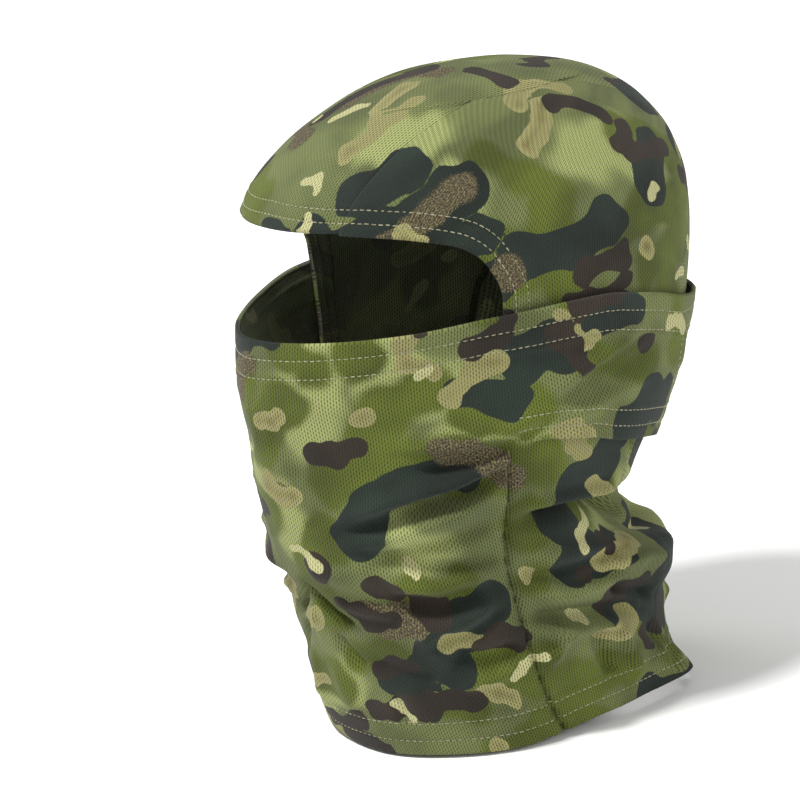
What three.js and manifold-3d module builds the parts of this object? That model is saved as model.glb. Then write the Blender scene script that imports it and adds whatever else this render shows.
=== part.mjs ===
// A camouflage balaclava, or full face mask, in the shape that it has on a head.
//
// The hood is three panels: a left side, a right side and a centre panel that runs from the brow
// over the crown and down the nape to the neck hem. A face panel closes the front below the eyes.
// Below the jaw it is sewn to the hood along two side seams. Above them it is free of the hood:
// its wings reach back over the ears and meet a rear panel, and together they make a band round
// the head that holds the mask up. The band slides down over the hood when the face is bared.
//
// The frame is in millimetres. +Z is up, square to the neck hem, which lies flat at z = 0.
// The face looks along -Y and the wearer's left is +X. At the end the mask is moved so that its
// bounding box is centred on the Z axis.
import * as THREE from "three";
import Module from "manifold-3d";
import { mergeVertices } from "three/addons/utils/BufferGeometryUtils.js";

const wasm = await Module();
wasm.setup();

// ---- driving dimensions -------------------------------------------------------------------

const height = 281.5; // neck hem to the top of the crown
const width = 164; // across the temples
const depth = 215; // from the tip of the nose to the back of the head

const cloth = 1.6; // thickness of one layer of the knitted mesh, with its loft
const hemLayers = 1.9; // a turned hem is this many layers thick
const bandGap = 2.6; // air between the hood and the band that passes over it
const seamGap = 0.4; // between pieces that are sewn edge to edge
const thread = 0.9; // thickness and width of a row of stitching
const overlock = 1.6; // thickness of the overlocked edges of a seam, on its inner side
const overlockWidth = 3; // and their width
const threadLift = 0.35; // how far stitching lies off the cloth that carries it

const topHem = 17; // height of the turned edge under the eyes, which runs on round the head
const bandHem = 13; // height of the turned lower edge of the band
const openingHem = 12; // width of the turned edge round the hood's face opening
const neckHem = 20; // height of the turned edge round the neck
const rowShares = [0.38, 0.84]; // where the two rows of stitching run, as shares of a hem's height

const labelWidth = 24;
const labelHeight = 16;
const labelThickness = 0.7;
const labelAboveHem = 3; // from the neck hem's raw edge up to the label

// The head form, from the neck hem to the crown. Each station holds its level as a share of the
// height, the front and back of the section as shares of the depth, its half width as a share of
// the width, where along the depth it is widest, and how square its front is: 2 is an ellipse.
const stations = [
  [0, -0.2767, 0.4651, 0.4207, 0.0977, 2.1],
  [0.0213, -0.286, 0.4512, 0.4207, 0.093, 2.1],
  [0.103, -0.3093, 0.4419, 0.4329, 0.0744, 2.1],
  [0.1918, -0.3233, 0.4512, 0.4421, 0.0558, 2.1],
  [0.2558, -0.3326, 0.4186, 0.4329, 0.0465, 2],
  [0.3055, -0.3605, 0.3581, 0.4268, 0.0372, 1.9],
  [0.3623, -0.3744, 0.3907, 0.4451, 0.0465, 1.8],
  [0.4405, -0.3884, 0.4651, 0.4695, 0.0651, 1.7],
  [0.5115, -0.3977, 0.5209, 0.4878, 0.0837, 1.55],
  [0.5648, -0.4047, 0.5488, 0.4939, 0.093, 1.5],
  [0.643, -0.3884, 0.5767, 0.5, 0.1116, 1.65],
  [0.7069, -0.3581, 0.5907, 0.5, 0.1256, 2],
  [0.778, -0.3535, 0.5953, 0.4878, 0.1395, 2.2],
  [0.849, -0.3116, 0.5721, 0.4573, 0.1488, 2.2],
  [0.9094, -0.2326, 0.5209, 0.3902, 0.1488, 2.1],
  [0.9556, -0.1256, 0.4372, 0.2988, 0.1488, 2],
  [0.984, -0.014, 0.3302, 0.1951, 0.1488, 2],
  [1, 0.1395, 0.1581, 0.0244, 0.1488, 2],
];
const backSquareness = 2.1;
const [LEVEL, FRONT, BACK, HALF, MIDDLE, SQUARENESS] = [0, 1, 2, 3, 4, 5];

// The edges below are laid out on a head of this size, and move with the real head's size.
const layout = { height: 281.5, width: 164, depth: 215 };
const upHead = (z) => (z * height) / layout.height;
const alongHead = (y) => (y * depth) / layout.depth;
const acrossHead = (x) => (x * width) / layout.width;
const fromSide = (points) => points.map(([y, z]) => [alongHead(y), upHead(z)]);
const fromBehind = (points) => points.map(([x, z]) => [acrossHead(x), upHead(z)]);

// Edges as they are seen from the side: [y, z] from the front to the back of the head.
const topEdge = fromSide([
  [-95, 185], [-70, 187], [-45, 189], [-13, 192], [10, 192], [33, 191], [60, 185], [103, 172],
  [140, 169],
]);
const bandLowerEdge = fromSide([
  [-40, 138], [5, 137], [22, 135], [33, 131], [58, 123], [85, 112], [100, 106], [140, 103],
]);

// The hood's front edge, from the neck hem up past the jaw and the temple and forward over the
// brow. As far up as the band it is the side seam. Above that it is the edge of the opening.
const hoodEdge = fromSide([
  [6, -12], [5, 0], [-4, 24], [-11, 54], [-15, 89], [-14, 114], [-12, 139],
  [-9, 174], [-8, 199], [-14, 216], [-32, 227], [-60, 232], [-110, 234], [-150, 235],
]);

// Half widths of the hood's centre panel and of the band's rear panel, as [half width, z].
const crownStrip = 40; // half width of the centre panel over the crown and the brow
const aboveCrown = height + 50;
const centreSide = [
  ...fromBehind([[57, -12], [58, 34], [56, 80], [64, 104], [70, 129], [70, 159], [50, 219]]),
  [crownStrip, height - 0.5],
  [crownStrip, aboveCrown],
];
const bandRearSide = fromBehind([[50, 84], [54, 127], [63, 144], [67, 164], [70, 224]]);

const ringPoints = 40; // points round the form
const formLevels = 21; // rings up the form
const edgeSteps = 16; // points along an edge
const beyond = 260; // reaches past the whole mask

// ---- the head form ------------------------------------------------------------------------

// A curve through [x, value] pairs that never overshoots them.
function smoothCurve(points) {
  const last = points.length - 1;
  const slope = (i) => (points[i + 1][1] - points[i][1]) / (points[i + 1][0] - points[i][0]);
  const tangents = points.map((_, i) => {
    if (i === 0) return slope(0);
    if (i === last) return slope(last - 1);
    const [before, after] = [slope(i - 1), slope(i)];
    return before * after <= 0 ? 0 : (2 * before * after) / (before + after);
  });
  return (x) => {
    let i = 0;
    while (i < last - 1 && x > points[i + 1][0]) i += 1;
    const [[x0, v0], [x1, v1]] = [points[i], points[i + 1]];
    const t = THREE.MathUtils.clamp((x - x0) / (x1 - x0), 0, 1);
    const rise = v1 - v0;
    const start = tangents[i] * (x1 - x0);
    const end = tangents[i + 1] * (x1 - x0);
    return v0 + t * (start + t * (3 * rise - 2 * start - end + t * (start + end - 2 * rise)));
  };
}

const column = (index, size) => smoothCurve(stations.map((s) => [s[LEVEL] * height, s[index] * size]));
const frontAt = column(FRONT, depth);
const backAt = column(BACK, depth);
const halfAt = column(HALF, width);
const middleAt = column(MIDDLE, depth);
const squarenessAt = column(SQUARENESS, 1);

// The point of the form at an angle (0 at the nose, a quarter turn at the left ear) and a level.
function onForm(angle, level) {
  const forward = Math.cos(angle);
  const sideways = Math.sin(angle);
  const power = 2 / (forward > 0 ? squarenessAt(level) : backSquareness);
  const reach = (forward > 0 ? frontAt(level) : backAt(level)) - middleAt(level);
  return new THREE.Vector3(
    halfAt(level) * Math.sign(sideways) * Math.abs(sideways) ** power,
    middleAt(level) + reach * Math.abs(forward) ** power,
    level,
  );
}

// The same point moved out from the cloth by lift, along the form's normal.
function offForm(angle, level, lift) {
  const turn = 0.02;
  const rise = Math.min(0.6, (height - level) / 2 + 0.05);
  const around = onForm(angle + turn, level).sub(onForm(angle - turn, level));
  const up = onForm(angle, Math.min(level + rise, height)).sub(onForm(angle, level - rise));
  return onForm(angle, level).addScaledVector(around.cross(up).normalize(), lift);
}

// ---- solids -------------------------------------------------------------------------------

// A closed three.js geometry as a manifold-3d solid.
function solidOf(geometry) {
  const bare = geometry.clone();
  bare.deleteAttribute("normal");
  bare.deleteAttribute("uv");
  const merged = mergeVertices(bare, 1e-4);
  return new wasm.Manifold(
    new wasm.Mesh({
      numProp: 3,
      vertProperties: merged.attributes.position.array,
      triVerts: new Uint32Array(merged.index.array),
    }),
  );
}

// A manifold-3d solid as a three.js geometry.
function geometryOf(solid) {
  const { numProp, numVert, vertProperties, triVerts } = solid.getMesh();
  const corners = [];
  for (let i = 0; i < numVert; i += 1) corners.push(...vertProperties.slice(numProp * i, numProp * i + 3));
  const geometry = new THREE.BufferGeometry();
  geometry.setAttribute("position", new THREE.Float32BufferAttribute(corners, 3));
  geometry.setIndex([...triVerts]);
  geometry.computeVertexNormals();
  return geometry;
}

// The head form as a solid, grown by liftAt(level). Its rings crowd together towards the crown.
// The lowest ring stands on the neck hem's plane, or as far below it as footDrop.
function formSolid(liftAt, footDrop) {
  const corners = [];
  const levelOf = (i) => 0.996 * height * (1 - (1 - Math.max(i, 0) / formLevels) ** 1.3);
  const first = footDrop > 0 ? -1 : 0;
  for (let i = first; i <= formLevels; i += 1)
    for (let j = 0; j < ringPoints; j += 1) {
      const point = offForm((j / ringPoints) * 2 * Math.PI, levelOf(i), liftAt(levelOf(i)));
      if (i <= 0) point.z = i * footDrop;
      corners.push(point);
    }
  const rings = formLevels - first;
  corners.push(
    new THREE.Vector3(0, middleAt(0), -footDrop),
    new THREE.Vector3(0, middleAt(height), height + liftAt(height)),
  );
  const [foot, crown] = [corners.length - 2, corners.length - 1];
  const faces = [];
  for (let j = 0; j < ringPoints; j += 1) {
    const next = (j + 1) % ringPoints;
    const topRing = rings * ringPoints;
    faces.push(foot, next, j, topRing + j, topRing + next, crown);
    for (let i = 0; i < rings; i += 1) {
      const [low, high] = [i * ringPoints, (i + 1) * ringPoints];
      faces.push(low + j, low + next, high + next, low + j, high + next, high + j);
    }
  }
  const geometry = new THREE.BufferGeometry().setFromPoints(corners);
  geometry.setIndex(faces);
  return solidOf(geometry);
}

// A flat outline, pushed straight through the mask: [y, z] points along X, or [x, z] points
// along Y from the middle of the head to the back.
function prism(outline, from, to, across, up, along) {
  const shape = new THREE.Shape(outline.map(([u, v]) => new THREE.Vector2(u, v)));
  const extruded = new THREE.ExtrudeGeometry(shape, { depth: to - from, bevelEnabled: false });
  extruded.translate(0, 0, from);
  return solidOf(extruded.applyMatrix4(new THREE.Matrix4().makeBasis(across, up, along)));
}

const [X, Y, Z] = [[1, 0, 0], [0, 1, 0], [0, 0, 1]].map((v) => new THREE.Vector3(...v));
const sidePrism = (outline) => prism(outline, -beyond, beyond, Y, Z, X);
const rearPrism = (outline, startY) => prism(outline, -beyond, -startY, X, Z, Y.clone().negate());

function block(x0, x1, y0, y1, z0, z1) {
  const box = new THREE.BoxGeometry(x1 - x0, y1 - y0, z1 - z0);
  return solidOf(box.translate((x0 + x1) / 2, (y0 + y1) / 2, (z0 + z1) / 2));
}

// ---- layers of cloth ----------------------------------------------------------------------

// The face panel leaves the hood's layer above the neck, and rises to pass over the hood.
const bandLevels = [upHead(66), upHead(100)];
const bandLiftAt = (level) => bandGap * THREE.MathUtils.smoothstep(level, ...bandLevels);
const onHood = (level) => 0 * level;

// A shell that follows a layer, from one distance off it to another. It is open at the neck.
const shell = (layer, from, to) =>
  formSolid((level) => layer(level) + to, 0).subtract(formSolid((level) => layer(level) + from, 10));

const hoodCloth = shell(onHood, -cloth, 0);
const hoodTurned = shell(onHood, -cloth * hemLayers, 0);
const hoodRows = shell(onHood, threadLift, threadLift + thread);
const hoodSeams = shell(onHood, -cloth - threadLift - overlock, -cloth - threadLift);
const bandCloth = shell(bandLiftAt, 0, cloth);
const bandTurned = shell(bandLiftAt, 0, cloth * hemLayers);
const bandRows = shell(bandLiftAt, cloth * hemLayers + threadLift, cloth * hemLayers + threadLift + thread);
const bandSeams = shell(bandLiftAt, cloth + threadLift, cloth + threadLift + thread);

// ---- where the pieces end -----------------------------------------------------------------

const topAt = smoothCurve(topEdge);
const bandLowAt = smoothCurve(bandLowerEdge);

// All that lies above a line, given as the level at each y.
function above(lineAt) {
  const outline = [];
  for (let i = 0; i <= 2 * edgeSteps; i += 1) {
    const y = -130 + (300 * i) / (2 * edgeSteps);
    outline.push([y, lineAt(y)]);
  }
  return sidePrism([...outline, [170, 2 * beyond], [-130, 2 * beyond]]);
}
const aboveLevel = (z) => block(-beyond, beyond, -beyond, beyond, z, 2 * beyond);
const strip = (lowerAt, upperAt) => above(lowerAt).subtract(above(upperAt));
const levelStrip = (z0, z1) => block(-beyond, beyond, -beyond, beyond, z0, z1);

// All that lies in front of the hood's edge and under its brow, with the edge moved back by shift.
const edgeCurve = new THREE.SplineCurve(hoodEdge.map(([y, z]) => new THREE.Vector2(y, z)));
function inFront(shift) {
  const edge = [];
  for (let i = 0; i <= edgeSteps; i += 1) {
    const point = edgeCurve.getPoint(i / edgeSteps);
    const along = edgeCurve.getTangent(i / edgeSteps);
    edge.push([point.x + along.y * shift, point.y - along.x * shift]);
  }
  return sidePrism([[-beyond, edge[0][1]], ...edge, [-beyond, edge.at(-1)[1]]]);
}
const edgeStrip = (from, to) => inFront(to).subtract(inFront(from));

// The hood's centre panel, and the band's rear panel, each grown by grow.
const mirrored = (side, grow) => [
  ...side.map(([x, z]) => [x + grow, z]),
  ...side.toReversed().map(([x, z]) => [-x - grow, z]),
];
function centre(grow) {
  const crownY = middleAt(height);
  const half = crownStrip + grow;
  return rearPrism(mirrored(centreSide, grow), crownY).add(
    block(-half, half, -beyond, crownY + 1, upHead(180), aboveCrown),
  );
}
const bandRear = (grow) => rearPrism(mirrored(bandRearSide, grow), middleAt(height));

const leftHalf = block(0, beyond, -beyond, beyond, -20, 2 * beyond);
const rightHalf = block(-beyond, 0, -beyond, beyond, -20, 2 * beyond);
const seamTop = bandLowAt(alongHead(-12)); // the side seams end where the band's lower edge crosses them
const aboveSeams = aboveLevel(seamTop);
const belowSeams = levelStrip(-20, seamTop);
const half = seamGap / 2;

// ---- pieces -------------------------------------------------------------------------------

const GREEN = 0x75854f;
const OLIVE = 0x5f6b3f;
const SAGE = 0x93a178;
const FOREST = 0x2e3a33;
const THREAD = 0xa9a78c;
const OVERLOCK = 0x55603f;
const WHITE = 0xd8d8d0;

const pieces = [];
function piece(name, solid, colour) {
  pieces.push({ name, geometry: geometryOf(solid), colour });
}

// Two pieces that mirror each other across the middle of the face.
function pair(name, solid, colour) {
  piece(`${name}_left`, solid.intersect(leftHalf), colour);
  piece(`${name}_right`, solid.intersect(rightHalf), colour);
}

// A turned edge carries two rows of stitching. rowAt(share, extra) is what lies from the edge as
// far in as that share of the hem's height, and then a little more.
function rows(name, layer, rowAt) {
  for (const [row, share] of Object.entries({ outer: rowShares[0], inner: rowShares[1] }))
    piece(`${name}_stitch_${row}`, layer.intersect(rowAt(share, thread / 2).subtract(rowAt(share, -thread / 2))), THREAD);
}

// The hood: its panels stop at the neck hem and at the turned edge of the face opening.
const openingZone = inFront(openingHem + seamGap).intersect(aboveSeams);
const hood = hoodCloth.intersect(aboveLevel(neckHem + seamGap)).subtract(inFront(half)).subtract(openingZone);
pair("hood_panel", hood.subtract(centre(half)), GREEN);
piece("hood_panel_centre", hood.intersect(centre(-half)), OLIVE);
piece(
  "hood_opening_hem",
  hoodTurned.intersect(edgeStrip(half, openingHem)).intersect(aboveLevel(seamTop + seamGap)),
  SAGE,
);
rows("hood_opening", hoodRows.intersect(aboveLevel(seamTop + seamGap)), (share, extra) =>
  inFront(openingHem * share + extra));

// The seams of the hood. Their overlocked edges lie on the inner side of the cloth.
const seamZone = aboveLevel(neckHem + seamGap).subtract(openingZone);
pair(
  "hood_seam",
  hoodSeams.intersect(centre(overlockWidth / 2).subtract(centre(-overlockWidth / 2))).intersect(seamZone),
  OVERLOCK,
);
pair(
  "side_seam",
  hoodSeams.intersect(edgeStrip(-overlockWidth / 2, overlockWidth / 2))
    .intersect(levelStrip(neckHem + seamGap, seamTop)),
  OVERLOCK,
);

// The neck hem, in front and behind, with its rows of stitching right round.
const neck = hoodTurned.intersect(levelStrip(-1, neckHem));
piece("neck_hem_front", neck.intersect(inFront(-half)), FOREST);
piece("neck_hem_rear", neck.subtract(inFront(half)), OLIVE);
rows("neck", hoodRows, (share, extra) => levelStrip(-1, neckHem * share + extra));

// The size label, blank, inside the nape above the neck hem.
const labelBottom = neckHem + labelAboveHem;
piece(
  "size_label",
  shell(onHood, -cloth - threadLift - labelThickness, -cloth - threadLift).intersect(
    block(-labelWidth / 2, labelWidth / 2, 0, beyond, labelBottom, labelBottom + labelHeight),
  ),
  WHITE,
);

// The face panel, up to the hem under the eyes.
const underTopHem = above((y) => topAt(y) - topHem - seamGap);
piece(
  "face_panel",
  bandCloth.intersect(inFront(-half)).intersect(aboveLevel(neckHem + seamGap)).subtract(underTopHem),
  FOREST,
);

// The band: a turned edge along its top that runs on under the eyes, wings over the ears, a rear
// panel, and a turned lower edge behind the side seams.
piece("top_hem", bandTurned.intersect(strip((y) => topAt(y) - topHem, topAt)), SAGE);
rows("top", bandRows, (share, extra) => above((y) => topAt(y) - topHem * share - extra));
const band = bandCloth.subtract(inFront(half)).subtract(underTopHem)
  .intersect(above((y) => bandLowAt(y) + bandHem + seamGap));
pair("band_wing", band.subtract(bandRear(half)), GREEN);
piece("band_panel_rear", band.intersect(bandRear(-half)), GREEN);
const lowerStrip = strip(bandLowAt, (y) => bandLowAt(y) + bandHem);
piece("band_lower_hem", bandTurned.intersect(lowerStrip).subtract(inFront(half)), SAGE);
rows("band", bandRows.subtract(inFront(half)), (share, extra) =>
  above((y) => bandLowAt(y) + bandHem * share - extra));
pair(
  "band_seam",
  bandSeams.intersect(bandRear(thread / 2).subtract(bandRear(-thread / 2)))
    .intersect(above((y) => bandLowAt(y) + bandHem + seamGap)).subtract(underTopHem),
  OVERLOCK,
);

// ---- the mask -----------------------------------------------------------------------------

const bounds = new THREE.Box3();
for (const { geometry } of pieces) {
  geometry.computeBoundingBox();
  bounds.union(geometry.boundingBox);
}
const middle = bounds.getCenter(new THREE.Vector3());

const group = new THREE.Group();
group.name = "camo_face_mask";
for (const { name, geometry, colour } of pieces) {
  const material = new THREE.MeshStandardMaterial({ color: colour, roughness: 0.9, metalness: 0 });
  const mesh = new THREE.Mesh(geometry.translate(-middle.x, -middle.y, 0), material);
  mesh.name = name;
  group.add(mesh);
}

export default group;
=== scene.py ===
# %% [markdown]
# # Camo face mask
# A camouflage balaclava in polyester mesh knit, shown as it is on a head, with no head in it. The
# CAD model gives the size and the moving parts. Here the cloth gets its folds, seams, turned hems,
# stitches, knitted holes and print. The face looks along -Y, and the wearer's left is +X.

# %% The frame, and the CAD model's box
import math

import bpy
import numpy as np
from mathutils import Matrix, Vector


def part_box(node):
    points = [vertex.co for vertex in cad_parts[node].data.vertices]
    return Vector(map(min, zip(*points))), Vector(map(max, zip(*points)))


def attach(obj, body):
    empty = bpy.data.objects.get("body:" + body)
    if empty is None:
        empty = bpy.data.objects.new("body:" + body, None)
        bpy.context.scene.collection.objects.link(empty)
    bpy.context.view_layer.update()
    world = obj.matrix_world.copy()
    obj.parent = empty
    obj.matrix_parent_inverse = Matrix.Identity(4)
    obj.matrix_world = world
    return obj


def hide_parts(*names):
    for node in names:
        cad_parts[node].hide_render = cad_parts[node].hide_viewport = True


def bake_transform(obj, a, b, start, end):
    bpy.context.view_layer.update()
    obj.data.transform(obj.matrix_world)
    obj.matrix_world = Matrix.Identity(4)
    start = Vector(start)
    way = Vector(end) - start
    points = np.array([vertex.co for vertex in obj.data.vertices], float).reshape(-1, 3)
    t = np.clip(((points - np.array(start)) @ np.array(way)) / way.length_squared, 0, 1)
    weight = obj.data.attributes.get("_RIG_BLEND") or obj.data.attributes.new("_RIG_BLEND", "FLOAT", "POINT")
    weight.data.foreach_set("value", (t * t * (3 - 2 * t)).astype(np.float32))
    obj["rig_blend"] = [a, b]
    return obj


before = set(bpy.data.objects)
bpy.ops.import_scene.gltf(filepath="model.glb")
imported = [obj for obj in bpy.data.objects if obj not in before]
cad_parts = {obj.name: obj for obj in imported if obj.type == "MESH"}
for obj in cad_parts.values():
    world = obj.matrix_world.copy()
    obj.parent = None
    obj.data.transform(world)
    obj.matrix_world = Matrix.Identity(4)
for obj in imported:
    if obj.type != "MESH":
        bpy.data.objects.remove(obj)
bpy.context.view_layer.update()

# %% [markdown]
# ## The head form
# All the cloth follows one head form, the same as the CAD model's. Each station of the table holds a
# level, the front and the back of the section, its half width, where it is widest, and how square
# its front is. Lengths are in millimetres up to the last step, which makes the meshes in metres.

# %% The head form's sections
STATIONS = [
    (0, -59.5, 100, 69, 21, 2.1), (6, -61.5, 97, 69, 20, 2.1), (29, -66.5, 95, 71, 16, 2.1),
    (54, -69.5, 97, 72.5, 12, 2.1), (72, -71.5, 90, 71, 10, 2.0), (86, -77.5, 77, 70, 8, 1.9),
    (102, -80.5, 84, 73, 10, 1.8), (124, -83.5, 100, 77, 14, 1.7), (144, -85.5, 112, 80, 18, 1.55),
    (159, -87, 118, 81, 20, 1.5), (181, -83.5, 124, 82, 24, 1.65), (199, -77, 127, 82, 27, 2.0),
    (219, -76, 128, 80, 30, 2.2), (239, -67, 123, 75, 32, 2.2), (256, -50, 112, 64, 32, 2.1),
    (269, -27, 94, 49, 32, 2.0), (277, -3, 71, 32, 32, 2.0), (281.5, 30, 34, 4, 32, 2.0),
]
TOP_LEVEL = 281.5
BACK_SQUARENESS = 2.1


def smooth_curve(points):
    """A curve through (x, value) pairs that never overshoots them."""
    xs, vs = (np.array(c, float) for c in zip(*points))
    slopes = np.diff(vs) / np.diff(xs)
    before, after = slopes[:-1], slopes[1:]
    with np.errstate(divide="ignore", invalid="ignore"):
        inner = np.where(before * after > 0, 2 * before * after / (before + after), 0)
    tangents = np.concatenate([slopes[:1], inner, slopes[-1:]])

    def at(x):
        x = np.clip(np.asarray(x, float), xs[0], xs[-1])
        i = np.clip(np.searchsorted(xs, x, side="right") - 1, 0, len(xs) - 2)
        span = xs[i + 1] - xs[i]
        t, rise = (x - xs[i]) / span, vs[i + 1] - vs[i]
        start, end = tangents[i] * span, tangents[i + 1] * span
        return vs[i] + t * (start + t * (3 * rise - 2 * start - end + t * (start + end - 2 * rise)))

    return at


front_at, back_at, half_at, middle_at, square_at = (
    smooth_curve([(s[0], s[k]) for s in STATIONS]) for k in range(1, 6)
)
box_low, box_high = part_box("neck_hem_rear")
SHIFT = box_high.y * 1000 - float(back_at(0))  # the CAD model centres its box on the Z axis
print("the form moves by", round(SHIFT, 2), "mm along Y")


def form_point(turn, level):
    """The point of the form at a turn in degrees (0 at the nose, 90 at the left ear) and a level."""
    angle = np.radians(turn)
    level = np.clip(level, 0, TOP_LEVEL)
    forward, sideways = np.cos(angle), np.sin(angle)
    power = 2 / np.where(forward > 0, square_at(level), BACK_SQUARENESS)
    reach = np.where(forward > 0, front_at(level), back_at(level)) - middle_at(level)
    x = half_at(level) * np.sign(sideways) * np.abs(sideways) ** power
    y = middle_at(level) + reach * np.abs(forward) ** power + SHIFT
    return np.stack([x, y, level + 0 * x], -1)


def form_normal(turn, level):
    rise = np.minimum(1.2, (TOP_LEVEL - level) / 2 + 0.1)
    around = form_point(turn + 1.5, level) - form_point(turn - 1.5, level)
    up = form_point(turn, np.minimum(level + rise, TOP_LEVEL)) - form_point(turn, level - rise)
    normal = np.cross(around, up)
    return normal / np.maximum(np.linalg.norm(normal, axis=-1, keepdims=True), 1e-9)


def turn_at_y(y, level):
    """The turn on the left side at which the form has a given y at a level."""
    y = y - SHIFT
    middle = middle_at(level)
    ahead = y < middle
    power = np.where(ahead, square_at(level), BACK_SQUARENESS) / 2
    reach = np.where(ahead, front_at(level), back_at(level)) - middle
    share = np.clip(np.abs((y - middle) / reach), 0, 1) ** power
    return np.degrees(np.where(ahead, np.arccos(share), np.pi - np.arccos(share)))


def turn_at_x(x, level, behind):
    """The turn on the left side at which the form has a given x, in front or behind."""
    square = BACK_SQUARENESS if behind else square_at(level)
    turn = np.degrees(np.arcsin(np.clip(x / half_at(level), 0, 1) ** (square / 2)))
    return 180 - turn if behind else turn


def smoothstep(x, low, high):
    t = np.clip((x - low) / (high - low), 0, 1)
    return t * t * (3 - 2 * t)


# %% [markdown]
# ## Where the pieces end
# The edges are the CAD model's: the top hem under the eyes, the band's lower edge, the hood's front
# edge, and the seams of the hood's centre panel and of the band's rear panel.

# %% Edges and seams
TOP_EDGE = [(-95, 185), (-70, 187), (-45, 189), (-13, 192), (10, 192), (33, 191), (60, 185),
            (103, 172), (140, 169)]
BAND_LOWER_EDGE = [(-40, 138), (5, 137), (22, 135), (33, 131), (58, 123), (85, 112), (100, 106),
                   (140, 103)]
HOOD_EDGE = [(0, 5), (24, -4), (54, -11), (89, -15), (114, -14), (139, -12), (174, -9), (199, -8),
             (214, -13), (222, -21), (228, -38), (232, -60), (233.2, -75), (234, -90)]
CENTRE_SIDE = [(-10, 57), (34, 58), (80, 56), (104, 64), (129, 70), (159, 70), (219, 50), (262, 40),
               (330, 40)]
BAND_REAR_SIDE = [(84, 50), (127, 54), (144, 63), (164, 67), (224, 70)]
STRIP_HALF = 40
BROW, CROWN = 232.6, 272.6  # levels of the brow edge, and where the side panels end on top
NECK_HEM, TOP_HEM, BAND_HEM, OPENING_HEM = 20, 17, 13, 12
ROWS = {"outer": 0.38, "inner": 0.84}  # rows of stitching, as shares of a hem's height

top_of_y, low_of_y = smooth_curve(TOP_EDGE), smooth_curve(BAND_LOWER_EDGE)
hood_edge_y, centre_side, rear_side = map(smooth_curve, (HOOD_EDGE, CENTRE_SIDE, BAND_REAR_SIDE))


def level_of(edge_of_y, turn):
    """The level at which the form meets an edge given by its level at each y."""
    level = np.full_like(np.asarray(turn, float), 170.0)
    for _ in range(12):
        level = edge_of_y(form_point(turn, level)[..., 1] - SHIFT)
    return level


EDGE_TURNS = np.linspace(0, 180, 361)
top_level_table, low_level_table = (level_of(e, EDGE_TURNS) for e in (top_of_y, low_of_y))


def folded(turn):
    """Both halves are cut alike: the turn from the nose, from 0 to 180 on either side."""
    turn = np.mod(turn, 360)
    return np.minimum(turn, 360 - turn)


def top_level(turn):
    return np.interp(folded(turn), EDGE_TURNS, top_level_table)


def low_level(turn):
    return np.interp(folded(turn), EDGE_TURNS, low_level_table)


def edge_turn(level):
    """The turn of the side seam and of the face opening's edge, up to the brow."""
    return turn_at_y(hood_edge_y(level) + SHIFT, level)


SEAM_TOP = float(low_of_y(-12))
SEAM_TURN = float(edge_turn(SEAM_TOP))
print("side seams end at level", round(SEAM_TOP, 1), "and turn", round(SEAM_TURN, 1))

# %% [markdown]
# ## Folds
# Each fold is a stroke: a line of points on the cloth as (turn, level), a height in millimetres (below
# zero for a valley) and a width. The cloth is pulled into the point where the band's lower hem meets
# the side seam, and folds fan out from there over the cheek. Below the chin and round the neck it
# bunches in long soft folds. The right side has the same folds, a little shifted.

# %% The folds
FOLD_DEPTH, FOLD_WIDTH = 2.25, 0.86  # what the heights and widths below are multiplied by
MM_PER_TURN = 1.36  # millimetres round the form for one degree, near enough for strokes and print
COVER_FOLDS = [  # the face panel and its wings
    ([(75, 140), (66, 134), (56, 131), (47, 132)], -2.4, 3.6),
    ([(77, 147), (66, 143), (54, 140), (42, 142)], 1.6, 6),
    ([(73, 135), (60, 128), (44, 120), (30, 113)], 2.3, 4.6),
    ([(71, 126), (56, 118), (41, 111), (27, 105)], -2.2, 4.4),
    ([(71, 117), (54, 108), (38, 101)], 1.5, 5.5),
    ([(72, 106), (57, 101), (45, 96), (30, 88)], -2.2, 4.4),
    ([(80, 160), (92, 166), (108, 170)], 1.3, 6), ([(84, 152), (98, 158), (116, 160)], -1.4, 6),
    ([(60, 175), (72, 171), (84, 172)], -0.7, 6), ([(20, 168), (34, 160), (48, 158)], 0.9, 9),
    ([(118, 178), (128, 160), (133, 140)], 1.4, 8), ([(126, 182), (137, 165), (143, 145)], -1.5, 7),
    ([(150, 175), (156, 155), (158, 130)], 1.2, 8), ([(168, 170), (172, 150), (180, 130)], -1.2, 9),
    ([(8, 150), (16, 140), (20, 128)], -0.9, 7),
    ([(76, 143), (68, 138), (57, 136), (44, 138)], -1.5, 2.6),
    ([(74, 131), (64, 124), (50, 118), (36, 114)], -1.6, 2.8),
    ([(76, 138), (68, 130), (60, 124), (52, 121)], 1.5, 3.0), ([(72, 122), (60, 114), (46, 108)], 1.3, 3.2),
    ([(78, 152), (88, 156), (99, 163), (112, 172)], -1.2, 3.2),
    ([(78, 156), (90, 162), (100, 171)], 1.2, 3.6),
    ([(82, 144), (98, 148), (114, 150)], 1.0, 3.4), ([(24, 100), (36, 104), (50, 112)], 1.1, 4.0),
]
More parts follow.
